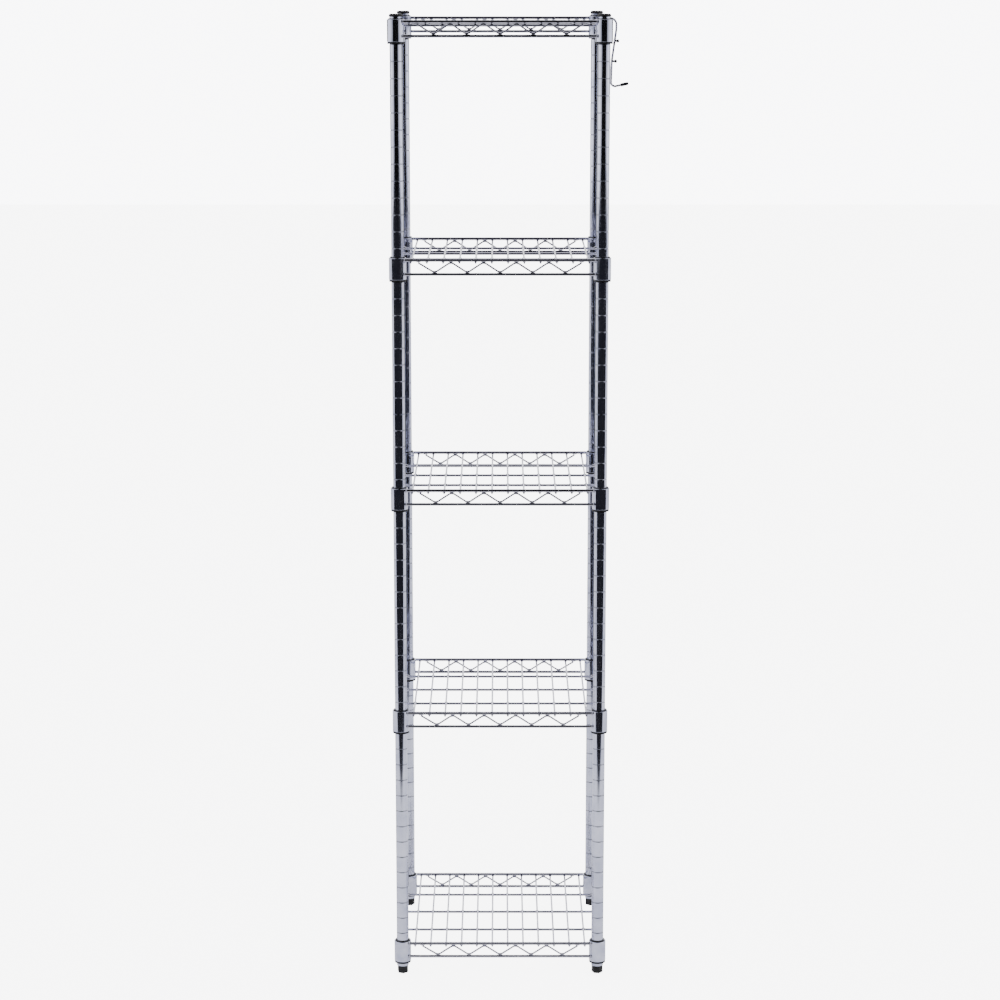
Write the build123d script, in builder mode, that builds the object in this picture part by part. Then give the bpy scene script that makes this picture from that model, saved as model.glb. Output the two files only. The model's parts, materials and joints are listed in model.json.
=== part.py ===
"""Wire shelving rack: five lift-off wire shelves on four grooved tube posts.

Frame: +Z up, the front faces -Y, millimetres. The floor is z = 0, and the origin is the
middle of the whole footprint, the hook on the right-hand side included.
"""
from build123d import *
from math import atan2, cos, degrees
import os

os.makedirs("parts", exist_ok=True)

# ---- Posts ---------------------------------------------------------------------------
POST_SPACING_X = 311.0  # post axis to post axis, side to side
POST_SPACING_Y = 311.0  # post axis to post axis, front to back
POST_RADIUS = 9.5
POST_WALL = 1.2
POST_FOOT_Z = 12.3  # lower end of the lower tube
POST_TOP_Z = 1506.0
TUBE_END_CHAMFER = 0.4
GROOVE_PITCH = 25.4
GROOVE_COUNT = 58
FIRST_GROOVE_Z = 43.0
GROOVE_CUT_RADIUS = 0.9
GROOVE_DEPTH = 0.5
SEAM_GROOVE = 34  # the two tube lengths of a post meet at this groove

# ---- Shelves -------------------------------------------------------------------------
TIER_GROOVES = (0, 15, 29, 43, 57)  # the groove that each tier's sleeves clip into
RIM_ABOVE_GROOVE = 8.0
RIM_OUTSET = 8.0  # rim wires run this far outside the post axes
TOP_RIM_RADIUS = 2.5
LOWER_RIM_RADIUS = 2.25
RIM_DROP = 21.5  # top rim axis down to lower rim axis
TRUSS_RADIUS = 1.4
TRUSS_PITCH = 49.5
TRUSS_VALLEYS = 5
TRUSS_BEND = 8.0
MAT_RADIUS = 1.4
MAT_PITCH = 24.6
MAT_COUNT = 12
MAT_PAST_RIM = 1.0
SUPPORT_RADIUS = 2.0
SUPPORT_COUNT = 3
SUPPORT_END_RUN = 5.0
SUPPORT_CRANK_RUN = 6.0
SUPPORT_BEND = 4.0
WELD_GAP = 0.05  # crossing wires are welded, and their surfaces stop this far apart
OVERCUT = 3.0  # a cutting shape is this many times the radius or height that it cuts

# ---- Collars and split sleeves -------------------------------------------------------
COLLAR_RADIUS = 13.25
COLLAR_TOP = 3.0  # above the top rim axis
COLLAR_BOTTOM = -30.0
COLLAR_EDGE = 0.5
COLLAR_BORE_TOP = 11.75
COLLAR_BORE_BOTTOM = 12.25
TAPER_CLEARANCE = 0.1
SLEEVE_TOP = 4.5
SLEEVE_LIP_RADIUS = 12.9
SLEEVE_LIP_HEIGHT = 2.6
SLEEVE_LIP_GAP = 0.4  # collar's lower edge down to the lip
SLEEVE_BORE_CLEARANCE = 0.05
SLEEVE_SPLIT = 0.8
SLEEVE_SPLIT_TURN = 18.5  # the split sits this many degrees to the right of the front
BEAD_RADIUS = 0.7
BEAD_DEPTH = 0.35

# ---- Post ends and post joints -------------------------------------------------------
CAP_RADIUS = 10.4
CAP_HEIGHT = 4.2
CAP_ROUND = 3.0
CAP_PLUG_LENGTH = 10.0
PLUG_CLEARANCE = 0.02
JOINT_INSERT_LENGTH = 15.0
JOINT_INSERT_RECESS = 0.3  # each insert sits this far inside its tube's end
JOINT_BORE_RADIUS = 5.0
STUD_LENGTH = 28.0
FOOT_INSERT_LENGTH = 14.0
FOOT_BORE_RADIUS = 4.0
THREAD_CLEARANCE = 0.05
FOOT_HEIGHT = 12.0
FOOT_CORNER_RADIUS = 9.5
FOOT_EDGE_ROUND = 2.2
FOOT_CHAMFER = 1.2
FOOT_STEM_LENGTH = 26.0

# ---- Side hook, hung over the top shelf's right-hand rim -----------------------------
HOOK_RADIUS = 1.7
HOOK_Y = -134.0
HOOK_RIM_GAP = 0.3
HOOK_INNER_END = 0.0  # height of the inner end over the rim axis
HOOK_SHOULDER_X = 174.4  # reaches are from the rack's middle, and heights from the rim axis
HOOK_SHOULDER_DROP = -12.0
HOOK_KNEE = (168.0, -58.0)
HOOK_ROOT = (166.8, -98.0)
HOOK_TIP = (191.0, -92.6)
HOOK_BENDS = (4.2, 9.5, 30.0, 60.0, 6.0)  # bend radii, from the inner end to the prong
PEG_1 = (172.0, -29.3, 4.2)  # reach, height and length of each short peg
PEG_2 = (168.0, -59.3, 5.2)
BALL_RADIUS = 2.5
BALL_PAST_PEG = 0.4  # peg end to ball centre
TIP_RADIUS = 2.5
TIP_LENGTH = 12.0
TIP_WALL_AT_END = 2.5
TIP_ROUND = 2.2

# ---- Worked-out places ---------------------------------------------------------------
overall_half_x = POST_SPACING_X / 2 + COLLAR_RADIUS
hook_reach = HOOK_TIP[0] + TIP_WALL_AT_END
rack_x = -(hook_reach - overall_half_x) / 2
floor = Plane(origin=(rack_x, 0, 0))
rim_x = POST_SPACING_X / 2 + RIM_OUTSET
rim_y = POST_SPACING_Y / 2 + RIM_OUTSET
tube_bore = POST_RADIUS - POST_WALL
seam_z = FIRST_GROOVE_Z + SEAM_GROOVE * GROOVE_PITCH
mat_z = -TOP_RIM_RADIUS - WELD_GAP - MAT_RADIUS
support_z = mat_z - MAT_RADIUS - WELD_GAP - SUPPORT_RADIUS
tier_z = [FIRST_GROOVE_Z + n * GROOVE_PITCH + RIM_ABOVE_GROOVE for n in TIER_GROOVES]
on_base = (Align.CENTER, Align.CENTER, Align.MIN)
corners = {
    "front_left": (-POST_SPACING_X / 2, -POST_SPACING_Y / 2),
    "front_right": (POST_SPACING_X / 2, -POST_SPACING_Y / 2),
    "rear_left": (-POST_SPACING_X / 2, POST_SPACING_Y / 2),
    "rear_right": (POST_SPACING_X / 2, POST_SPACING_Y / 2),
}


def save(builder, label):
    """Label a finished piece and write it as parts/label.step."""
    builder.part.label = label
    export_step(builder.part, f"parts/{label}.step")


def grooved_tube(low_z, high_z):
    """One length of post on the Z axis, with every groove that falls inside it."""
    grooves = [FIRST_GROOVE_Z + n * GROOVE_PITCH for n in range(GROOVE_COUNT)]
    inside = [z for z in grooves if low_z + GROOVE_CUT_RADIUS < z < high_z - GROOVE_CUT_RADIUS]
    cut_r = POST_RADIUS - GROOVE_DEPTH + GROOVE_CUT_RADIUS
    with BuildPart() as tube:
        with BuildSketch(Plane.XZ):
            with Locations((tube_bore, low_z)):
                Rectangle(POST_WALL, high_z - low_z, align=(Align.MIN, Align.MIN))
            with Locations([(cut_r, z) for z in inside]):
                Circle(GROOVE_CUT_RADIUS, mode=Mode.SUBTRACT)
        revolve(axis=Axis.Z)
        for end in (0, -1):
            end_circles = tube.edges().group_by(Axis.Z)[end]
            chamfer(end_circles.sort_by(SortBy.RADIUS)[-1], TUBE_END_CHAMFER)
    return tube.part


def threaded_insert(length, bore):
    """A round plug inside a tube end, bored for its screw, standing on z = 0."""
    with BuildPart() as insert:
        Cylinder(tube_bore - PLUG_CLEARANCE, length, align=on_base)
        Hole(bore)
    return insert.part


def swept_wire(points, radii, wire_radius):
    """A round wire along straight runs and arcs, drawn in the XZ plane."""
    with BuildPart() as wire:
        with BuildLine(Plane.XZ) as route:
            FilletPolyline(*points, radius=radii)
        with BuildSketch(Plane(origin=route.line @ 0, z_dir=route.line % 0)):
            Circle(wire_radius)
        sweep(path=route.line)
    return wire.part


# ---- Posts ---------------------------------------------------------------------------
lower_tube = grooved_tube(POST_FOOT_Z, seam_z)
upper_tube = grooved_tube(seam_z, POST_TOP_Z)
for corner, place in corners.items():
    with BuildPart(floor) as lower_post:
        with Locations(place):
            add(lower_tube)
    save(lower_post, f"lower_post_{corner}")
    with BuildPart(floor) as upper_post:
        with Locations(place):
            add(upper_tube)
    save(upper_post, f"upper_post_{corner}")

# ---- Inserts and studs inside the posts ----------------------------------------------
joint_insert = threaded_insert(JOINT_INSERT_LENGTH, JOINT_BORE_RADIUS)
with BuildPart(floor) as joint_inserts:
    for z in (seam_z - JOINT_INSERT_RECESS - JOINT_INSERT_LENGTH, seam_z + JOINT_INSERT_RECESS):
        with Locations((0, 0, z)):
            with GridLocations(POST_SPACING_X, POST_SPACING_Y, 2, 2):
                add(joint_insert)
save(joint_inserts, "joint_inserts")

with BuildPart(floor.offset(seam_z)) as joining_studs:
    with GridLocations(POST_SPACING_X, POST_SPACING_Y, 2, 2):
        Cylinder(JOINT_BORE_RADIUS - THREAD_CLEARANCE, STUD_LENGTH)
    chamfer(joining_studs.edges().filter_by(GeomType.CIRCLE), TUBE_END_CHAMFER)
save(joining_studs, "joining_studs")

foot_insert = threaded_insert(FOOT_INSERT_LENGTH, FOOT_BORE_RADIUS)
with BuildPart(floor.offset(POST_FOOT_Z)) as foot_inserts:
    with GridLocations(POST_SPACING_X, POST_SPACING_Y, 2, 2):
        add(foot_insert)
save(foot_inserts, "foot_inserts")

# ---- Levelling feet and post caps ----------------------------------------------------
for corner, place in corners.items():
    with BuildPart(floor) as foot:
        with BuildSketch(floor):
            with Locations(place):
                RegularPolygon(FOOT_CORNER_RADIUS, 6)
            fillet(vertices(), FOOT_EDGE_ROUND)
        extrude(amount=FOOT_HEIGHT)
        chamfer(foot.edges().group_by(Axis.Z)[0], FOOT_CHAMFER)
        with BuildSketch(floor.offset(FOOT_HEIGHT)):
            with Locations(place):
                Circle(FOOT_BORE_RADIUS - THREAD_CLEARANCE)
        extrude(amount=FOOT_STEM_LENGTH)
        chamfer(foot.edges().group_by(Axis.Z)[-1], TUBE_END_CHAMFER)
    save(foot, f"levelling_foot_{corner}")

    with BuildPart(floor) as cap:
        with BuildSketch(floor.offset(POST_TOP_Z)):
            with Locations(place):
                Circle(CAP_RADIUS)
        extrude(amount=CAP_HEIGHT)
        fillet(cap.edges().group_by(Axis.Z)[-1], CAP_ROUND)
        with BuildSketch(floor.offset(POST_TOP_Z)):
            with Locations(place):
                Circle(tube_bore - PLUG_CLEARANCE)
        extrude(amount=-CAP_PLUG_LENGTH)
    save(cap, f"post_cap_{corner}")

# ---- One of each repeated shelf piece, with the top rim's axis at z = 0 --------------
with BuildPart() as collar:
    with BuildSketch(Plane.XZ):
        with BuildLine():
            Polyline(
                (COLLAR_BORE_BOTTOM, COLLAR_BOTTOM),
                (COLLAR_RADIUS, COLLAR_BOTTOM),
                (COLLAR_RADIUS, COLLAR_TOP),
                (COLLAR_BORE_TOP, COLLAR_TOP),
                close=True,
            )
        make_face()
        fillet(vertices(), COLLAR_EDGE)
    revolve(axis=Axis.Z)

bore_slope = (COLLAR_BORE_TOP - COLLAR_BORE_BOTTOM) / (COLLAR_TOP - COLLAR_BOTTOM)
lip_top = COLLAR_BOTTOM - SLEEVE_LIP_GAP
sleeve_bore = POST_RADIUS + SLEEVE_BORE_CLEARANCE
sleeve_foot_radius = COLLAR_BORE_BOTTOM - TAPER_CLEARANCE
sleeve_top_radius = sleeve_foot_radius + bore_slope * (SLEEVE_TOP - COLLAR_BOTTOM)
with BuildPart() as sleeve:
    with BuildSketch(Plane.XZ):
        with BuildLine():
            Polyline(
                (sleeve_bore, lip_top - SLEEVE_LIP_HEIGHT),
                (SLEEVE_LIP_RADIUS, lip_top - SLEEVE_LIP_HEIGHT),
                (SLEEVE_LIP_RADIUS, lip_top),
                (sleeve_foot_radius, lip_top),
                (sleeve_top_radius, SLEEVE_TOP),
                (sleeve_bore, SLEEVE_TOP),
                close=True,
            )
        make_face()
        with Locations((POST_RADIUS - BEAD_DEPTH + BEAD_RADIUS, -RIM_ABOVE_GROOVE)):
            Circle(BEAD_RADIUS)
    revolve(axis=Axis.Z)
    with Locations(Rotation(0, 0, SLEEVE_SPLIT_TURN)):
        cut_height = OVERCUT * (SLEEVE_TOP - COLLAR_BOTTOM)
        Box(SLEEVE_SPLIT, OVERCUT * SLEEVE_LIP_RADIUS, cut_height, mode=Mode.SUBTRACT)

truss_high = -TOP_RIM_RADIUS - WELD_GAP - TRUSS_RADIUS
truss_low = -RIM_DROP + LOWER_RIM_RADIUS + WELD_GAP + TRUSS_RADIUS
run_angle = atan2(truss_high - truss_low, TRUSS_PITCH / 2)
corner_lift = TRUSS_BEND * (1 / cos(run_angle) - 1)
turns = 2 * TRUSS_VALLEYS
truss_points = []
for turn in range(turns + 1):
    height = truss_low - corner_lift if turn % 2 else truss_high + corner_lift
    if turn in (0, turns):
        height = truss_high
    truss_points.append(((turn - TRUSS_VALLEYS) * TRUSS_PITCH / 2, height))
truss = swept_wire(truss_points, TRUSS_BEND, TRUSS_RADIUS)

support_end_x = rim_x - TRUSS_RADIUS - WELD_GAP
support_end_z = -TOP_RIM_RADIUS - WELD_GAP - SUPPORT_RADIUS
half_support = [
    (support_end_x, support_end_z),
    (support_end_x - SUPPORT_END_RUN, support_end_z),
    (support_end_x - SUPPORT_END_RUN - SUPPORT_CRANK_RUN, support_z),
]
support_points = [(-x, z) for x, z in half_support] + half_support[::-1]
support = swept_wire(support_points, SUPPORT_BEND, SUPPORT_RADIUS)

front_and_back = [Location((0, -rim_y, 0)), Location((0, rim_y, 0))]
both_sides = [Location((x, 0, 0), (0, 0, 90)) for x in (-rim_x, rim_x)]


def rim_wires(plane, wire_radius):
    """Four straight rim wires that butt against the collars."""
    with BuildPart(plane) as rims:
        with Locations(front_and_back):
            Cylinder(wire_radius, POST_SPACING_X, rotation=(0, 90, 0))
        with Locations(both_sides):
            Cylinder(wire_radius, POST_SPACING_Y, rotation=(0, 90, 0))
        with GridLocations(POST_SPACING_X, POST_SPACING_Y, 2, 2):
            Cylinder(COLLAR_RADIUS, OVERCUT * wire_radius, mode=Mode.SUBTRACT)
    return rims


# ---- The five tiers, numbered from the floor up --------------------------------------
for tier, z in enumerate(tier_z, start=1):
    rim_plane = floor.offset(z)

    with BuildPart(rim_plane) as collars:
        with GridLocations(POST_SPACING_X, POST_SPACING_Y, 2, 2):
            add(collar.part)
    save(collars, f"shelf_{tier}_collars")

    with BuildPart(rim_plane) as sleeves:
        with GridLocations(POST_SPACING_X, POST_SPACING_Y, 2, 2):
            add(sleeve.part)
    save(sleeves, f"tier_{tier}_sleeves")

    save(rim_wires(rim_plane, TOP_RIM_RADIUS), f"shelf_{tier}_top_rims")
    save(rim_wires(rim_plane.offset(-RIM_DROP), LOWER_RIM_RADIUS), f"shelf_{tier}_lower_rims")

    with BuildPart(rim_plane) as trusses:
        with Locations(front_and_back + both_sides):
            add(truss)
    save(trusses, f"shelf_{tier}_trusses")

    with BuildPart(rim_plane) as supports:
        with GridLocations(0, 2 * rim_y / (SUPPORT_COUNT + 1), 1, SUPPORT_COUNT):
            add(support)
    save(supports, f"shelf_{tier}_supports")

    with BuildPart(rim_plane.offset(mat_z)) as mat_wires:
        with GridLocations(MAT_PITCH, 0, MAT_COUNT, 1):
            Cylinder(MAT_RADIUS, 2 * (rim_y + MAT_PAST_RIM), rotation=(90, 0, 0))
    save(mat_wires, f"shelf_{tier}_mat_wires")

# ---- Side hook: a bent wire over the rim, two short pegs and a long prong ------------
hook_plane = Plane(origin=(rack_x, HOOK_Y, tier_z[-1]))
hook_top = TOP_RIM_RADIUS + HOOK_RIM_GAP + HOOK_RADIUS
hook_points = [
    (rim_x - hook_top, HOOK_INNER_END),
    (rim_x - hook_top, hook_top),
    (HOOK_SHOULDER_X, hook_top),
    (HOOK_SHOULDER_X, HOOK_SHOULDER_DROP),
    HOOK_KNEE,
    HOOK_ROOT,
    HOOK_TIP,
]
hook_wire = swept_wire(hook_points, list(HOOK_BENDS), HOOK_RADIUS)
with BuildPart(hook_plane) as side_hook:
    add(hook_wire)
    for reach, height, length in (PEG_1, PEG_2):
        with Locations((reach, 0, height)):
            Cylinder(HOOK_RADIUS, length, rotation=(0, 90, 0), align=on_base)
save(side_hook, "side_hook")

prong_turn = 90 - degrees(atan2(HOOK_TIP[1] - HOOK_ROOT[1], HOOK_TIP[0] - HOOK_ROOT[0]))
with BuildPart() as prong_tip:
    with BuildSketch(Plane.XY.offset(TIP_WALL_AT_END - TIP_LENGTH)):
        Circle(TIP_RADIUS)
    extrude(amount=TIP_LENGTH)
    fillet(prong_tip.edges().group_by(Axis.Z)[-1], TIP_ROUND)
    with BuildSketch(Plane.XY):
        Circle(HOOK_RADIUS)
    extrude(amount=-TIP_LENGTH, mode=Mode.SUBTRACT)

with BuildPart(hook_plane) as hook_tips:
    with Locations(Location((HOOK_TIP[0], 0, HOOK_TIP[1]), (0, prong_turn, 0))):
        add(prong_tip.part)
    for reach, height, length in (PEG_1, PEG_2):
        with Locations((reach + length + BALL_PAST_PEG, 0, height)):
            Sphere(BALL_RADIUS)
        with Locations((reach, 0, height)):
            Cylinder(HOOK_RADIUS, length, rotation=(0, 90, 0), align=on_base, mode=Mode.SUBTRACT)
save(hook_tips, "side_hook_tips")
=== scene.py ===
"""Looks for the five-tier wire shelving rack: finishes, welds, threaded feet, studio and camera."""

import json
import logging
import math
import random
from dataclasses import dataclass, field
from enum import Enum
from typing import Callable, Dict, Iterable, List, Optional, Tuple

import bpy
from mathutils import Euler, Matrix, Vector

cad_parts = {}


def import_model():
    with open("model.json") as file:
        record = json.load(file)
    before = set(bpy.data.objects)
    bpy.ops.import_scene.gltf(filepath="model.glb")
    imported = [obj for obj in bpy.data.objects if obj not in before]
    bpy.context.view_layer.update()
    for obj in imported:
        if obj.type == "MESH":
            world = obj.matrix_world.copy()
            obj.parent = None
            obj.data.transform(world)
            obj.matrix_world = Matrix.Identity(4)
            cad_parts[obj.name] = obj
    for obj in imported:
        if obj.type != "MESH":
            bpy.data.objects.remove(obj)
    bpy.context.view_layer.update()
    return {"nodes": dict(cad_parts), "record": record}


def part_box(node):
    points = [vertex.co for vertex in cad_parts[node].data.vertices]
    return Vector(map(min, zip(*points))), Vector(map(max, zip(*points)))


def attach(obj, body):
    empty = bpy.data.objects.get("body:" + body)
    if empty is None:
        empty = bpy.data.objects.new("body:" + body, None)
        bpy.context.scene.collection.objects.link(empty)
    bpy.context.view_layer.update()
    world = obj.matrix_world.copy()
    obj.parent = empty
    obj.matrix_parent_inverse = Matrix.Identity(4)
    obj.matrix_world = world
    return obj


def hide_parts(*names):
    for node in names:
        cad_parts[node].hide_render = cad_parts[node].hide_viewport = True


Colour = Tuple[float, float, float]
Sizes = Tuple[float, float, float]
MM: float = 0.001
LOG = logging.getLogger("wire_rack")


class Corner(Enum):
    """The four posts, by which way they stand from the rack's middle."""

    FRONT_LEFT = (-1, -1)
    FRONT_RIGHT = (1, -1)
    REAR_LEFT = (-1, 1)
    REAR_RIGHT = (1, 1)

    @property
    def tag(self) -> str:
        """The corner's name as the nodes spell it."""
        return self.name.lower()


# ---- Small helpers -------------------------------------------------------------------
def deselect() -> None:
    """Leave object mode and select nothing."""
    if bpy.context.object and bpy.context.object.mode != "OBJECT":
        bpy.ops.object.mode_set(mode="OBJECT")
    bpy.ops.object.select_all(action="DESELECT")


def activate(piece: bpy.types.Object) -> None:
    """Select one object alone and make it the active one."""
    deselect()
    piece.select_set(True)
    bpy.context.view_layer.objects.active = piece


def pick_faces(piece: bpy.types.Object, wanted: Callable[[bpy.types.MeshPolygon], bool]) -> None:
    """Enter edit mode with only some faces selected.

    Args:
        piece: The mesh object to edit.
        wanted: Says whether a face is selected, from its centre and normal.
    """
    activate(piece)
    bpy.ops.object.mode_set(mode="EDIT")
    bpy.ops.mesh.select_mode(type="FACE")
    bpy.ops.mesh.select_all(action="DESELECT")
    bpy.ops.object.mode_set(mode="OBJECT")
    for face in piece.data.polygons:
        face.select = wanted(face)
    bpy.ops.object.mode_set(mode="EDIT")


def settle(piece: bpy.types.Object) -> None:
    """Move an object's place into its mesh."""
    activate(piece)
    bpy.ops.object.transform_apply(location=True, rotation=True, scale=True)


def shade(piece: bpy.types.Object, degrees: float = 35.0) -> None:
    """Shade a piece smooth, except over edges sharper than an angle."""
    activate(piece)
    bpy.ops.object.shade_smooth_by_angle(angle=math.radians(degrees))


def bevelled(piece: bpy.types.Object, width: float, segments: int = 2) -> None:
    """Round a piece's sharp edges and apply the rounding."""
    activate(piece)
    rounding = piece.modifiers.new("rounding", "BEVEL")
    rounding.width = width
    rounding.segments = segments
    rounding.limit_method = "ANGLE"
    bpy.ops.object.modifier_apply(modifier=rounding.name)


def cleaned(piece: bpy.types.Object, reach: float = 0.02 * MM) -> None:
    """Merge a piece's doubled points, drop slivers and point its faces outwards."""
    activate(piece)
    bpy.ops.object.mode_set(mode="EDIT")
    bpy.ops.mesh.select_all(action="SELECT")
    bpy.ops.mesh.remove_doubles(threshold=reach)
    bpy.ops.mesh.dissolve_degenerate(threshold=reach)
    bpy.ops.mesh.normals_make_consistent(inside=False)
    bpy.ops.object.mode_set(mode="OBJECT")


def copied(master: bpy.types.Object, name: str, place: Matrix) -> bpy.types.Object:
    """Copy a piece with a mesh of its own, with the place in the mesh.

    Args:
        master: The piece to copy, made about the origin.
        name: The copy's name.
        place: Where the copy goes.

    Returns:
        The new object, at the origin, linked to the scene.
    """
    mesh = master.data.copy()
    mesh.transform(place)
    piece = bpy.data.objects.new(name, mesh)
    bpy.context.scene.collection.objects.link(piece)
    return piece


def joined(pieces: List[bpy.types.Object], name: str) -> bpy.types.Object:
    """Join several objects into one and name it."""
    deselect()
    for piece in pieces:
        piece.select_set(True)
    bpy.context.view_layer.objects.active = pieces[0]
    bpy.ops.object.join()
    pieces[0].name = name
    pieces[0].data.name = name
    return pieces[0]


def discard(piece: bpy.types.Object) -> None:
    """Delete a master that only served to be copied."""
    mesh = piece.data
    bpy.data.objects.remove(piece)
    bpy.data.meshes.remove(mesh)


# ---- Finishes ------------------------------------------------------------------------
class NodeBook:
    """Adds nodes to one material and links them."""

    def __init__(self, name: str) -> None:
        """Make an empty node material with a Principled shader."""
        self.material = bpy.data.materials.new(name)
        self.material.use_nodes = True
        self.tree = self.material.node_tree
        self.shader = self.tree.nodes["Principled BSDF"]
        self.coordinates = self.tree.nodes.new("ShaderNodeTexCoord")

    def link(self, source: bpy.types.NodeSocket, target: bpy.types.NodeSocket) -> None:
        """Link an output to an input."""
        self.tree.links.new(source, target)

    def stretched(self, scale: Tuple[float, float, float]) -> bpy.types.NodeSocket:
        """Object coordinates, multiplied along each axis."""
        mapping = self.tree.nodes.new("ShaderNodeMapping")
        mapping.inputs["Scale"].default_value = scale
        self.link(self.coordinates.outputs["Object"], mapping.inputs["Vector"])
        return mapping.outputs["Vector"]

    def noise(self, scale: float, detail: float = 3.0,
              stretch: Tuple[float, float, float] = (1.0, 1.0, 1.0)) -> bpy.types.NodeSocket:
        """A noise pattern on Object coordinates.

        Args:
            scale: Cells per metre.
            detail: Octaves.
            stretch: Factor along each axis.

        Returns:
            The noise's factor output.
        """
        noise = self.tree.nodes.new("ShaderNodeTexNoise")
        noise.inputs["Scale"].default_value = scale
        noise.inputs["Detail"].default_value = detail
        self.link(self.stretched(stretch), noise.inputs["Vector"])
        return noise.outputs["Fac"]

    def ranged(self, value: bpy.types.NodeSocket, low: float, high: float) -> bpy.types.NodeSocket:
        """Bring a pattern's middle half to a range."""
        span = self.tree.nodes.new("ShaderNodeMapRange")
        span.inputs["From Min"].default_value = 0.3
        span.inputs["From Max"].default_value = 0.7
        span.inputs["To Min"].default_value = low
        span.inputs["To Max"].default_value = high
        self.link(value, span.inputs["Value"])
        return span.outputs["Result"]

    def between(self, factor: bpy.types.NodeSocket, first: Colour, second: Colour) -> bpy.types.NodeSocket:
        """Mix two colours by a pattern."""
        ramp = self.tree.nodes.new("ShaderNodeValToRGB")
        ramp.color_ramp.elements[0].position = 0.3
        ramp.color_ramp.elements[1].position = 0.7
        ramp.color_ramp.elements[0].color = (*first, 1.0)
        ramp.color_ramp.elements[1].color = (*second, 1.0)
        self.link(factor, ramp.inputs["Fac"])
        return ramp.outputs["Color"]

    def darkened(self, colour: bpy.types.NodeSocket, mask: bpy.types.NodeSocket,
                 grime_and_shade: Colour) -> bpy.types.NodeSocket:
        """Lay a second colour over a first one through a mask."""
        mix = self.tree.nodes.new("ShaderNodeMix")
        mix.data_type = "RGBA"
        self.link(mask, mix.inputs["Factor"])
        self.link(colour, mix.inputs["A"])
        mix.inputs["B"].default_value = (*grime_and_shade, 1.0)
        return mix.outputs["Result"]

    def bump(self, height: bpy.types.NodeSocket, distance: float, strength: float = 1.0) -> None:
        """Bump the shader's normal by a pattern, in metres."""
        bump = self.tree.nodes.new("ShaderNodeBump")
        bump.inputs["Distance"].default_value = distance
        bump.inputs["Strength"].default_value = strength
        self.link(height, bump.inputs["Height"])
        self.link(bump.outputs["Normal"], self.shader.inputs["Normal"])

    def math(self, operation: str, first: bpy.types.NodeSocket, second: float) -> bpy.types.NodeSocket:
        """One arithmetic step on a value."""
        step = self.tree.nodes.new("ShaderNodeMath")
        step.operation = operation
        self.link(first, step.inputs[0])
        step.inputs[1].default_value = second
        return step.outputs[0]

    def height(self) -> bpy.types.NodeSocket:
        """The Object Z coordinate, in metres."""
        split = self.tree.nodes.new("ShaderNodeSeparateXYZ")
        self.link(self.coordinates.outputs["Object"], split.inputs["Vector"])
        return split.outputs["Z"]


@dataclass(frozen=True)
class Grooves:
    """Where the rolled grooves lie along a post, in metres."""

    first: float = 0.043
    pitch: float = 0.0254
    half_width: float = 0.0010


@dataclass(frozen=True)
class Chrome:
    """Bright plating: a near-mirror with faint haze, a cool tint and polishing marks."""

    name: str
    bright: Colour = (0.80, 0.82, 0.96)
    dull: Colour = (0.56, 0.59, 0.76)
    roughness: Tuple[float, float] = (0.05, 0.13)
    haze_scale: float = 34.0
    streak: Tuple[float, float, float] = (1.0, 1.0, 0.08)
    ripple: float = 0.00004
    grooves: Optional[Grooves] = None

    def material(self) -> bpy.types.Material:
        """Build the finish.

        Returns:
            The new material.
        """
        book = NodeBook(self.name)
        book.shader.inputs["Metallic"].default_value = 1.0
        colour = book.between(book.noise(self.haze_scale, 4.0), self.dull, self.bright)
        # Base colour darkened in each rolled groove: partly grime, partly painted shade where less light
        # reaches into the groove.
        if self.grooves:
            steps = book.math("DIVIDE", book.math("SUBTRACT", book.height(), self.grooves.first),
                              self.grooves.pitch)
            nearest = book.math("PINGPONG", steps, 0.5)
            in_groove = book.math("LESS_THAN", nearest, self.grooves.half_width / self.grooves.pitch)
            colour = book.darkened(colour, book.math("MULTIPLY", in_groove, 0.6), (0.16, 0.16, 0.18))
        book.link(colour, book.shader.inputs["Base Color"])
        rough = book.ranged(book.noise(self.haze_scale * 3.0, 5.0, self.streak), *self.roughness)
        book.link(rough, book.shader.inputs["Roughness"])
        book.bump(book.noise(420.0, 2.0, self.streak), self.ripple)
        return book.material


@dataclass(frozen=True)
class Moulded:
    """Moulded black plastic: satin, finely grained, dusted a little lighter in patches."""

    name: str
    base: Colour = (0.004, 0.004, 0.005)
    dusty: Colour = (0.011, 0.011, 0.014)
    roughness: Tuple[float, float] = (0.34, 0.52)
    specular: float = 0.32
    grain: float = 2600.0
    grain_depth: float = 0.00006

    def material(self) -> bpy.types.Material:
        """Build the finish.

        Returns:
            The new material.
        """
        book = NodeBook(self.name)
        book.shader.inputs["Specular IOR Level"].default_value = self.specular
        tint = book.between(book.noise(95.0, 4.0), self.base, self.dusty)
        book.link(tint, book.shader.inputs["Base Color"])
        book.link(book.ranged(book.noise(310.0, 3.0), *self.roughness), book.shader.inputs["Roughness"])
        book.bump(book.noise(self.grain, 2.0), self.grain_depth, 0.7)
        return book.material


@dataclass(frozen=True)
class TurnedSteel:
    """Plain turned steel, with fine rings about the part's axis."""

    name: str
    bright: Colour = (0.62, 0.62, 0.64)
    dull: Colour = (0.42, 0.42, 0.44)

    def material(self) -> bpy.types.Material:
        """Build the finish.

        Returns:
            The new material.
        """
        book = NodeBook(self.name)
        book.shader.inputs["Metallic"].default_value = 1.0
        rings = book.noise(900.0, 3.0, (0.05, 0.05, 1.0))
        book.link(book.between(rings, self.dull, self.bright), book.shader.inputs["Base Color"])
        book.link(book.ranged(rings, 0.22, 0.40), book.shader.inputs["Roughness"])
        book.bump(rings, 0.00005)
        return book.material


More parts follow.
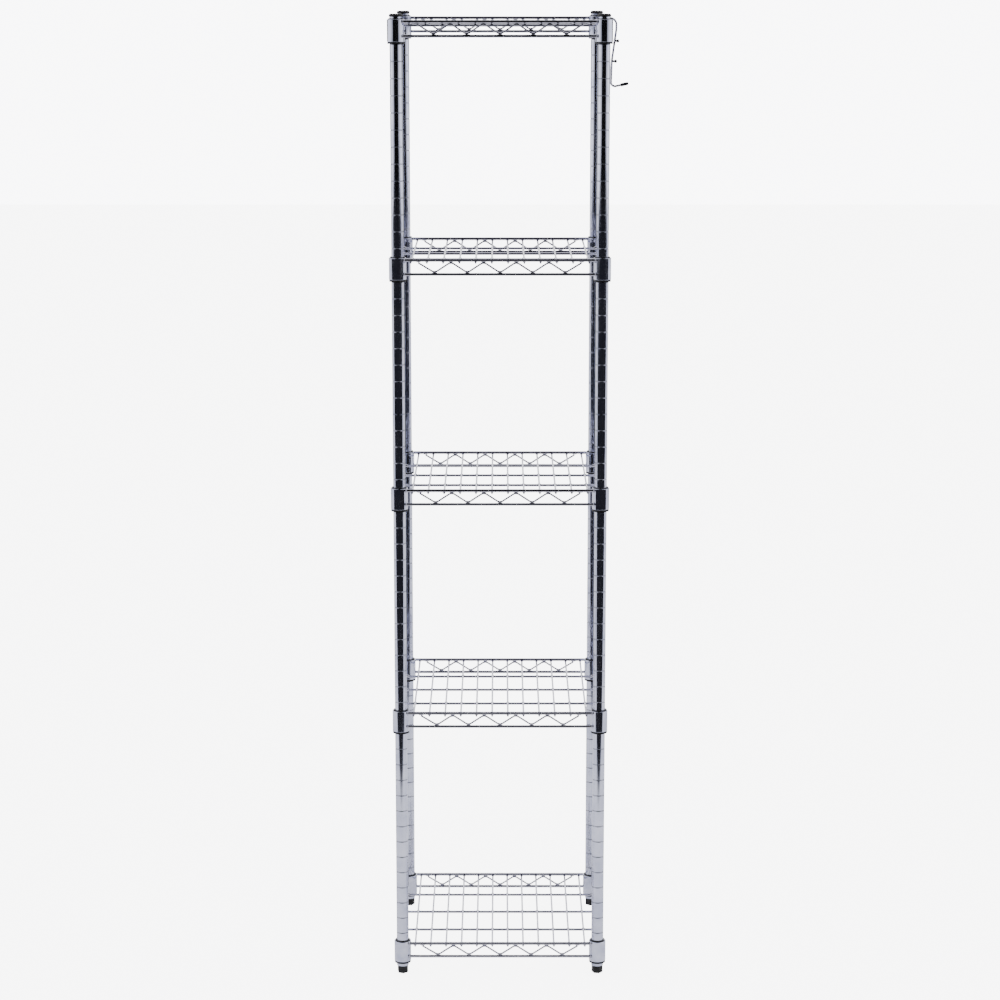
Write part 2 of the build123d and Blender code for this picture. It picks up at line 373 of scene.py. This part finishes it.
@dataclass
class Wardrobe:
    """Every finish of the rack, one for each of the record's slots."""

    finishes: Dict[str, bpy.types.Material] = field(default_factory=dict)

    def fill(self) -> None:
        """Build the finishes."""
        grooves = Grooves()
        self.finishes = {
            "post_chrome": Chrome("post_plating", grooves=grooves).material(),
            "collar_chrome": Chrome("collar_plating", haze_scale=60.0).material(),
            # The rim and wire platings are the posts' chrome with darker base colours: painted shade.
            "rim_chrome": Chrome("rim_plating_painted_shade",
                                 bright=(0.56, 0.56, 0.63), dull=(0.42, 0.42, 0.49),
                                 streak=(0.3, 0.3, 1.0)).material(),
            "wire_chrome": Chrome("light_wire_plating_painted_shade",
                                  bright=(0.62, 0.62, 0.71), dull=(0.46, 0.46, 0.55),
                                  roughness=(0.07, 0.17), streak=(1.0, 0.2, 1.0)).material(),
            "hook_chrome": Chrome("hook_plating", bright=(0.62, 0.62, 0.68),
                                  dull=(0.48, 0.48, 0.54)).material(),
            "insert_steel": TurnedSteel("turned_steel").material(),
            "black_plastic": Moulded("sleeve_plastic").material(),
            "foot_plastic": Moulded("foot_plastic_finish", base=(0.006, 0.006, 0.007),
                                    dusty=(0.017, 0.017, 0.020), roughness=(0.42, 0.62)).material(),
            "tip_plastic": Moulded("dipped_tip", base=(0.008, 0.008, 0.009), dusty=(0.018, 0.018, 0.020),
                                   roughness=(0.25, 0.36), grain=900.0).material(),
        }

    def dress(self, piece: bpy.types.Object, slot: str) -> None:
        """Give a piece one finish on every slot."""
        finish = self.finishes[slot]
        if not piece.data.materials:
            piece.data.materials.append(finish)
        for index in range(len(piece.data.materials)):
            piece.data.materials[index] = finish

    def dress_nodes(self, nodes: Dict[str, bpy.types.Object], record: dict) -> None:
        """Give each CAD node the finish of its slot in the record."""
        for part in record["subparts"]:
            self.dress(nodes[part["node"]], part["material_slot"])


# ---- The rack's own measures ---------------------------------------------------------
@dataclass
class Layout:
    """Places read from the frame, in metres."""

    middle_x: float = 0.0
    half_x: float = 0.0
    half_y: float = 0.0
    rim_x: float = 0.0
    rim_y: float = 0.0
    top_rim_radius: float = 0.0
    low_rim_radius: float = 0.0
    rim_drop: float = 0.0
    rim_heights: List[float] = field(default_factory=list)
    tiers: int = 5

    def read(self) -> None:
        """Measure the posts and rims."""
        left_low, left_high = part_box("lower_post_front_left")
        right_low, right_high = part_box("lower_post_rear_right")
        left, right = (left_low + left_high) / 2, (right_low + right_high) / 2
        self.middle_x = (left.x + right.x) / 2
        self.half_x = (right.x - left.x) / 2
        self.half_y = (right.y - left.y) / 2
        for tier in range(1, self.tiers + 1):
            low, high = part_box(f"shelf_{tier}_top_rims")
            self.rim_heights.append((low.z + high.z) / 2)
        lower_low, lower_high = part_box("shelf_1_lower_rims")
        self.top_rim_radius = (high.z - low.z) / 2
        self.low_rim_radius = (lower_high.z - lower_low.z) / 2
        self.rim_x = (high.x - low.x) / 2 - self.top_rim_radius
        self.rim_y = (high.y - low.y) / 2 - self.top_rim_radius
        self.rim_drop = self.rim_heights[0] - (lower_low.z + lower_high.z) / 2

    def post(self, corner: Corner) -> Vector:
        """The foot of a post's axis."""
        side, depth = corner.value
        return Vector((self.middle_x + side * self.half_x, depth * self.half_y, 0.0))


# ---- Welds ---------------------------------------------------------------------------
@dataclass
class WeldBeads:
    """The small upset beads where a shelf's wires are resistance-welded together."""

    layout: Layout
    wardrobe: Wardrobe
    mat_count: int = 12
    support_count: int = 3
    truss_valleys: int = 5
    truss_pitch: float = 49.5 * MM
    collar_radius: float = 13.25 * MM
    bead: float = 1.0 * MM
    support_end_inset: float = 2.2 * MM
    support_radius: float = 2.0 * MM
    mat_on_support: Sizes = (1.5, 1.9, 0.9)
    mat_on_rim: Sizes = (1.5, 2.0, 0.8)
    support_on_rim: Sizes = (2.0, 1.6, 0.9)
    truss_on_rim: Sizes = (2.4, 1.3, 0.8)
    rim_end_length: float = 0.9
    rim_end_swell: Tuple[float, float] = (1.02, 1.18)
    side_rim_end_swell: Tuple[float, float] = (0.82, 1.18)
    side_rim_end_length: float = 1.1
    unevenness: Tuple[float, float] = (0.9, 1.1)

    def master(self) -> bpy.types.Object:
        """Model one bead about the origin, a millimetre in radius, long in X.

        Returns:
            The bead's object.
        """
        deselect()
        bpy.ops.mesh.primitive_cube_add(size=2.0 * self.bead)
        bead = bpy.context.object
        bead.name = "bead_master"
        bpy.ops.object.mode_set(mode="EDIT")
        bpy.ops.mesh.select_all(action="SELECT")
        bpy.ops.mesh.subdivide(number_cuts=1)
        bpy.ops.transform.tosphere(value=0.9)
        bpy.ops.mesh.select_all(action="SELECT")
        bpy.ops.transform.resize(value=(1.25, 1.0, 0.85))
        bpy.ops.object.mode_set(mode="OBJECT")
        activate(bead)
        bpy.ops.object.shade_smooth()
        return bead

    def places(self, tier: int) -> Iterable[Tuple[Vector, Tuple[float, float, float], float]]:
        """Yield each weld of one shelf.

        Args:
            tier: The shelf's number, from 1.

        Yields:
            The weld's place, its size along each axis in bead radii, and its turn about Z.
        """
        lay = self.layout
        rim_z = lay.rim_heights[tier - 1]
        mat_low, mat_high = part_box(f"shelf_{tier}_mat_wires")
        mat_radius = (mat_high.z - mat_low.z) / 2
        mat_step = (mat_high.x - mat_low.x - 2 * mat_radius) / (self.mat_count - 1)
        mat_xs = [mat_low.x + mat_radius + mat_step * n for n in range(self.mat_count)]
        support_low, support_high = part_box(f"shelf_{tier}_supports")
        reach = (support_high.y - support_low.y) / 2 - self.support_radius
        support_ys = [reach * (n - 1) for n in range(self.support_count)]
        for x in mat_xs:
            for y in support_ys:
                yield Vector((x, y, mat_low.z)), self.mat_on_support, 0.0
            for side in (-1, 1):
                yield Vector((x, side * lay.rim_y, mat_high.z)), self.mat_on_rim, 0.0
        for y in support_ys:
            for side in (-1, 1):
                end_x = lay.middle_x + side * (lay.rim_x - self.support_end_inset)
                yield Vector((end_x, y, rim_z - lay.top_rim_radius)), self.support_on_rim, 0.0
        low_z = rim_z - lay.rim_drop + lay.low_rim_radius
        high_z = rim_z - lay.top_rim_radius
        turns = 2 * self.truss_valleys
        for turn in range(turns + 1):
            along = (turn - self.truss_valleys) * self.truss_pitch / 2
            height = low_z if turn % 2 else high_z
            for side in (-1, 1):
                yield Vector((lay.middle_x + along, side * lay.rim_y, height)), self.truss_on_rim, 0.0
                beside = Vector((lay.middle_x + side * lay.rim_x, along, height))
                yield beside, self.truss_on_rim, math.pi / 2
        outset_x, outset_y = lay.rim_x - lay.half_x, lay.rim_y - lay.half_y
        butt_x = math.sqrt(self.collar_radius ** 2 - outset_y ** 2)
        butt_y = math.sqrt(self.collar_radius ** 2 - outset_x ** 2)
        for corner in Corner:
            side, depth = corner.value
            post = lay.post(corner)
            for height, radius in ((rim_z, lay.top_rim_radius), (rim_z - lay.rim_drop, lay.low_rim_radius)):
                girth = radius / self.bead
                swell = [girth * share for share in self.rim_end_swell]
                yield (Vector((post.x - side * butt_x, post.y + depth * outset_y, height)),
                       (self.rim_end_length, swell[0], swell[1]), 0.0)
                swell = [girth * share for share in self.side_rim_end_swell]
                yield (Vector((post.x + side * outset_x, post.y - depth * butt_y, height)),
                       (swell[0], self.side_rim_end_length, swell[1]), 0.0)

    def build(self) -> List[bpy.types.Object]:
        """Make one piece of beads for each shelf.

        Returns:
            The pieces.
        """
        master = self.master()
        chance = random.Random(11)
        pieces = []
        for tier in range(1, self.layout.tiers + 1):
            beads = []
            for number, (place, size, turn) in enumerate(self.places(tier)):
                uneven = [share * chance.uniform(*self.unevenness) for share in size]
                turned = Matrix.Translation(place) @ Matrix.Rotation(turn, 4, "Z")
                matrix = turned @ Matrix.Diagonal((*uneven, 1.0))
                beads.append(copied(master, f"bead_{tier}_{number}", matrix))
            piece = joined(beads, f"shelf_{tier}_welds")
            self.wardrobe.dress(piece, "wire_chrome")
            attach(piece, f"shelf_{tier}")
            pieces.append(piece)
            LOG.info("%s: %d beads", piece.name, len(beads))
        discard(master)
        return pieces


# ---- Threaded feet -------------------------------------------------------------------
@dataclass
class LevellingFeet:
    """Hexagonal black feet on threaded steel stems, in place of the plain CAD ones."""

    layout: Layout
    wardrobe: Wardrobe
    corner_radius: float = 9.15 * MM
    height: float = 12.0 * MM
    sole_inset: float = 1.3 * MM
    sole_rise: float = 1.5 * MM
    waist_inset: float = 0.45 * MM
    shoulder_inset: float = 0.72 * MM
    shoulder_drop: float = 0.36 * MM
    edge_steps: int = 3
    edge: float = 0.5 * MM
    core_radius: float = 3.25 * MM
    crest_radius: float = 3.95 * MM
    thread_pitch: float = 1.25 * MM
    stem_length: float = 26.0 * MM
    core_facets: int = 28
    into_foot: float = 2.0 * MM
    first_turn: float = 2.2 * MM
    ridge_root: float = 0.15 * MM
    ridge_share: float = 0.72
    crest_share: float = 0.28
    steps_per_turn: int = 20
    plain_end: float = 3.0 * MM
    end_chamfer: Tuple[float, float] = (0.7 * MM, 0.6 * MM)
    first_turned: float = 8.0
    turned_each: float = 13.0

    def base(self) -> bpy.types.Object:
        """Model the black foot: a hexagon drawn in to a sole below and a shoulder above.

        Returns:
            The foot about the Z axis, standing on the floor.
        """
        deselect()
        bpy.ops.mesh.primitive_cylinder_add(vertices=6, radius=self.corner_radius,
                                            depth=self.height - self.sole_rise,
                                            location=(0, 0, (self.height + self.sole_rise) / 2))
        foot = bpy.context.object
        foot.name = "foot_master"
        settle(foot)
        pick_faces(foot, lambda face: face.normal.z < -0.9)
        bpy.ops.mesh.extrude_region_move(TRANSFORM_OT_translate={"value": (0, 0, -self.sole_rise)})
        shrink = 1 - self.sole_inset / self.corner_radius
        bpy.ops.transform.resize(value=(shrink, shrink, 1.0))
        pick_faces(foot, lambda face: face.normal.z > 0.9)
        bpy.ops.mesh.inset(thickness=self.waist_inset, depth=0.0)
        bpy.ops.mesh.inset(thickness=self.shoulder_inset, depth=-self.shoulder_drop)
        bpy.ops.object.mode_set(mode="OBJECT")
        bevelled(foot, self.edge, self.edge_steps)
        cleaned(foot)
        shade(foot, 40.0)
        self.wardrobe.dress(foot, "foot_plastic")
        return foot

    def stem(self) -> bpy.types.Object:
        """Model the threaded stem: a core with a helical ridge wound up it.

        Returns:
            The stem about the Z axis, starting inside the foot.
        """
        start = self.height - self.into_foot
        deselect()
        length = self.stem_length + self.into_foot
        bpy.ops.mesh.primitive_cylinder_add(vertices=self.core_facets, radius=self.core_radius,
                                            depth=length, location=(0, 0, start + length / 2))
        core = bpy.context.object
        settle(core)
        pick_faces(core, lambda face: face.normal.z > 0.9)
        bpy.ops.mesh.inset(thickness=self.end_chamfer[0], depth=self.end_chamfer[1])
        bpy.ops.object.mode_set(mode="OBJECT")
        deselect()
        rise = self.crest_radius - self.core_radius + self.ridge_root
        bpy.ops.mesh.primitive_plane_add(size=1.0, rotation=(math.pi / 2, 0, 0),
                                         location=(self.crest_radius - rise / 2, 0, start + self.first_turn))
        ridge = bpy.context.object
        ridge.scale = (rise, self.ridge_share * self.thread_pitch, 1.0)
        settle(ridge)
        outer = [v for v in ridge.data.vertices if v.co.x > self.crest_radius - rise / 2]
        middle_z = sum(v.co.z for v in outer) / len(outer)
        for vertex in outer:
            vertex.co.z = middle_z + (vertex.co.z - middle_z) * self.crest_share
        turns = int((self.stem_length - self.plain_end) / self.thread_pitch)
        winding = ridge.modifiers.new("winding", "SCREW")
        winding.axis = "Z"
        winding.screw_offset = self.thread_pitch
        winding.iterations = turns
        winding.steps = self.steps_per_turn
        winding.render_steps = self.steps_per_turn
        winding.use_normal_calculate = True
        activate(ridge)
        bpy.ops.object.modifier_apply(modifier=winding.name)
        bpy.ops.object.mode_set(mode="EDIT")
        bpy.ops.mesh.select_mode(type="EDGE")
        bpy.ops.mesh.select_all(action="DESELECT")
        bpy.ops.mesh.select_non_manifold(extend=False, use_wire=False, use_multi_face=False,
                                         use_non_contiguous=False, use_verts=False)
        bpy.ops.mesh.fill()
        bpy.ops.mesh.select_all(action="SELECT")
        bpy.ops.mesh.normals_make_consistent(inside=False)
        bpy.ops.object.mode_set(mode="OBJECT")
        stem = joined([core, ridge], "stem_master")
        shade(stem, 30.0)
        self.wardrobe.dress(stem, "insert_steel")
        return stem

    def build(self) -> List[bpy.types.Object]:
        """Make the four feet and their stems.

        Returns:
            The new pieces.
        """
        foot, stem = self.base(), self.stem()
        pieces = []
        for number, corner in enumerate(Corner):
            place = Matrix.Translation(self.layout.post(corner))
            turn = Matrix.Rotation(math.radians(self.first_turned + self.turned_each * number), 4, "Z")
            body = f"foot_{corner.tag}"
            base = copied(foot, f"foot_base_{corner.tag}", place @ turn)
            shaft = copied(stem, f"foot_stem_{corner.tag}", place @ turn)
            for piece in (base, shaft):
                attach(piece, body)
                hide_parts(f"levelling_foot_{corner.tag}")
                pieces.append(piece)
            LOG.info("%s and %s", base.name, shaft.name)
        discard(foot)
        discard(stem)
        return pieces


# ---- Studio --------------------------------------------------------------------------
@dataclass
class Studio:
    """A pale floor, a soft bright room with dark flags for the chrome, and the camera."""

    layout: Layout
    floor_half: float = 14.0
    floor_colour: Colour = (0.93, 0.93, 0.935)
    floor_patches: Colour = (0.91, 0.91, 0.92)
    backdrop_light: float = 9.0
    room_light: float = 1.3
    front_flag: Tuple[float, float] = (180.0, 40.0)
    rear_flags: Tuple[float, float] = (45.0, 15.0)
    flag_softness: float = 6.0
    flag_value: float = 0.004
    side_light: Tuple[float, float] = (0.75, 1.9)
    lit_floor: Tuple[float, float] = (0.98, 1.22)
    floor_glow: float = 7.0
    camera_distance: float = 4.120
    camera_height: float = 1.570
    camera_tilt: float = 11.39
    focal_share: float = 2.618
    sensor: float = 36.0

    def floor(self) -> None:
        """Lay the floor."""
        deselect()
        bpy.ops.mesh.primitive_plane_add(size=2 * self.floor_half, location=(0, 0, 0))
        ground = bpy.context.object
        ground.name = "studio_floor"
        book = NodeBook("floor_paint")
        book.link(book.between(book.noise(3.0), self.floor_patches, self.floor_colour),
                  book.shader.inputs["Base Color"])
        book.shader.inputs["Roughness"].default_value = 0.9
        book.shader.inputs["Specular IOR Level"].default_value = 0.1
        self.paint_dark_floor_reflection(book)
        ground.data.materials.append(book.material)

    def paint_dark_floor_reflection(self, book: NodeBook) -> None:
        """Paint a dark reflection: to glossy rays only, the floor in front beyond the lit part shows as
        near-black emission.

        Args:
            book: The floor's material, already painted.
        """
        nodes = book.tree.nodes
        split = nodes.new("ShaderNodeSeparateXYZ")
        book.link(book.coordinates.outputs["Object"], split.inputs["Vector"])
        away = book.math("MULTIPLY", split.outputs["Y"], -1.0)
        far = nodes.new("ShaderNodeMapRange")
        far.interpolation_type = "SMOOTHSTEP"
        far.inputs["From Min"].default_value = self.lit_floor[0]
        far.inputs["From Max"].default_value = self.lit_floor[1]
        book.link(away, far.inputs["Value"])
        ray = nodes.new("ShaderNodeLightPath")
        dark = nodes.new("ShaderNodeMath")
        dark.operation = "MULTIPLY"
        book.link(far.outputs["Result"], dark.inputs[0])
        book.link(ray.outputs["Is Glossy Ray"], dark.inputs[1])
        # Painted reflection: near-black emission that only reflections of the far front floor see.
        black = nodes.new("ShaderNodeEmission")
        black.inputs["Color"].default_value = (0.02, 0.02, 0.024, 1.0)
        blend = nodes.new("ShaderNodeMixShader")
        book.link(dark.outputs[0], blend.inputs["Fac"])
        book.link(book.shader.outputs["BSDF"], blend.inputs[1])
        book.link(black.outputs["Emission"], blend.inputs[2])
        glow = nodes.new("ShaderNodeEmission")
        glow.inputs["Color"].default_value = (*self.floor_colour, 1.0)
        seen = book.math("MULTIPLY", ray.outputs["Is Camera Ray"], self.floor_glow)
        book.link(seen, glow.inputs["Strength"])
        total = nodes.new("ShaderNodeAddShader")
        book.link(blend.outputs["Shader"], total.inputs[0])
        book.link(glow.outputs["Emission"], total.inputs[1])
        book.link(total.outputs["Shader"], nodes["Material Output"].inputs["Surface"])

    def room(self) -> None:
        """Light the room all round, with dark flags that only reflections see."""
        world = bpy.data.worlds.new("soft_room")
        bpy.context.scene.world = world
        world.use_nodes = True
        nodes, links = world.node_tree.nodes, world.node_tree.links
        background = nodes["Background"]
        where = nodes.new("ShaderNodeTexCoord")
        split = nodes.new("ShaderNodeSeparateXYZ")
        links.new(where.outputs["Generated"], split.inputs["Vector"])
        bearing = nodes.new("ShaderNodeMath")
        bearing.operation = "ARCTAN2"
        links.new(split.outputs["X"], bearing.inputs[0])
        links.new(split.outputs["Y"], bearing.inputs[1])
        fold = nodes.new("ShaderNodeMath")
        fold.operation = "ABSOLUTE"
        links.new(bearing.outputs[0], fold.inputs[0])
        front = self.outside(nodes, links, fold.outputs[0], *self.front_flag)
        rear = self.outside(nodes, links, fold.outputs[0], *self.rear_flags)
        lit = nodes.new("ShaderNodeMath")
        lit.operation = "MINIMUM"
        links.new(front, lit.inputs[0])
        links.new(rear, lit.inputs[1])
        side = nodes.new("ShaderNodeMapRange")
        side.interpolation_type = "SMOOTHSTEP"
        side.inputs["From Min"].default_value = math.radians(180.0 - self.front_flag[1])
        side.inputs["From Max"].default_value = math.radians(90.0)
        side.inputs["To Min"].default_value = self.side_light[0]
        side.inputs["To Max"].default_value = self.side_light[1]
        links.new(fold.outputs[0], side.inputs["Value"])
        mirrored = self.chosen(nodes, links, lit.outputs[0], self.flag_value, side.outputs["Result"])
        ray = nodes.new("ShaderNodeLightPath")
        indoors = self.chosen(nodes, links, ray.outputs["Is Glossy Ray"], self.room_light, mirrored)
        strength = self.chosen(nodes, links, ray.outputs["Is Camera Ray"], indoors, self.backdrop_light)
        links.new(strength, background.inputs["Strength"])
        background.inputs["Color"].default_value = (0.97, 0.97, 1.0, 1.0)

    def outside(self, nodes: bpy.types.Nodes, links: bpy.types.NodeLinks, bearing: bpy.types.NodeSocket,
                centre: float, half_width: float) -> bpy.types.NodeSocket:
        """Say how far a bearing is outside one dark flag, softly from 0 to 1.

        Args:
            nodes: The tree's nodes.
            links: The tree's links.
            bearing: The bearing from the rear, 0 to pi.
            centre: The flag's bearing in degrees.
            half_width: Half of the flag's width in degrees.

        Returns:
            The soft mask.
        """
        gap = nodes.new("ShaderNodeMath")
        gap.operation = "SUBTRACT"
        gap.inputs[1].default_value = math.radians(centre)
        links.new(bearing, gap.inputs[0])
        size = nodes.new("ShaderNodeMath")
        size.operation = "ABSOLUTE"
        links.new(gap.outputs[0], size.inputs[0])
        edge = nodes.new("ShaderNodeMapRange")
        edge.interpolation_type = "SMOOTHSTEP"
        edge.inputs["From Min"].default_value = math.radians(half_width - self.flag_softness)
        edge.inputs["From Max"].default_value = math.radians(half_width + self.flag_softness)
        links.new(size.outputs[0], edge.inputs["Value"])
        return edge.outputs["Result"]

    @staticmethod
    def chosen(nodes: bpy.types.Nodes, links: bpy.types.NodeLinks, switch: bpy.types.NodeSocket,
               off: object, on: object) -> bpy.types.NodeSocket:
        """Mix two values, each a number or a socket.

        Args:
            nodes: The tree's nodes.
            links: The tree's links.
            switch: 0 picks the first value and 1 the second.
            off: The first value.
            on: The second value.

        Returns:
            The mixed value.
        """
        mix = nodes.new("ShaderNodeMix")
        links.new(switch, mix.inputs["Factor"])
        for name, value in (("A", off), ("B", on)):
            if isinstance(value, bpy.types.NodeSocket):
                links.new(value, mix.inputs[name])
            else:
                mix.inputs[name].default_value = value
        return mix.outputs["Result"]

    def camera(self) -> None:
        """Stand the camera before the rack, a little above the top shelf, tilted down."""
        data = bpy.data.cameras.new("studio_camera")
        data.sensor_width = self.sensor
        data.lens = self.sensor * self.focal_share
        data.clip_end = 60.0
        camera = bpy.data.objects.new("studio_camera", data)
        bpy.context.scene.collection.objects.link(camera)
        camera.location = (self.layout.middle_x, -self.camera_distance, self.camera_height)
        camera.rotation_euler = Euler((math.radians(90.0 - self.camera_tilt), 0.0, 0.0))
        bpy.context.scene.camera = camera

    def build(self) -> None:
        """Set up the floor, the room and the camera."""
        self.floor()
        self.room()
        self.camera()


def main() -> None:
    """Load the frame, dress it, add the modelled pieces and set the studio."""
    logging.basicConfig(level=logging.INFO, format="%(name)s: %(message)s")
    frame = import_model()
    deselect()
    layout = Layout()
    layout.read()
    wardrobe = Wardrobe()
    wardrobe.fill()
    wardrobe.dress_nodes(frame["nodes"], frame["record"])
    WeldBeads(layout, wardrobe).build()
    LevellingFeet(layout, wardrobe).build()
    Studio(layout).build()


if __name__ == "__main__":
    main()
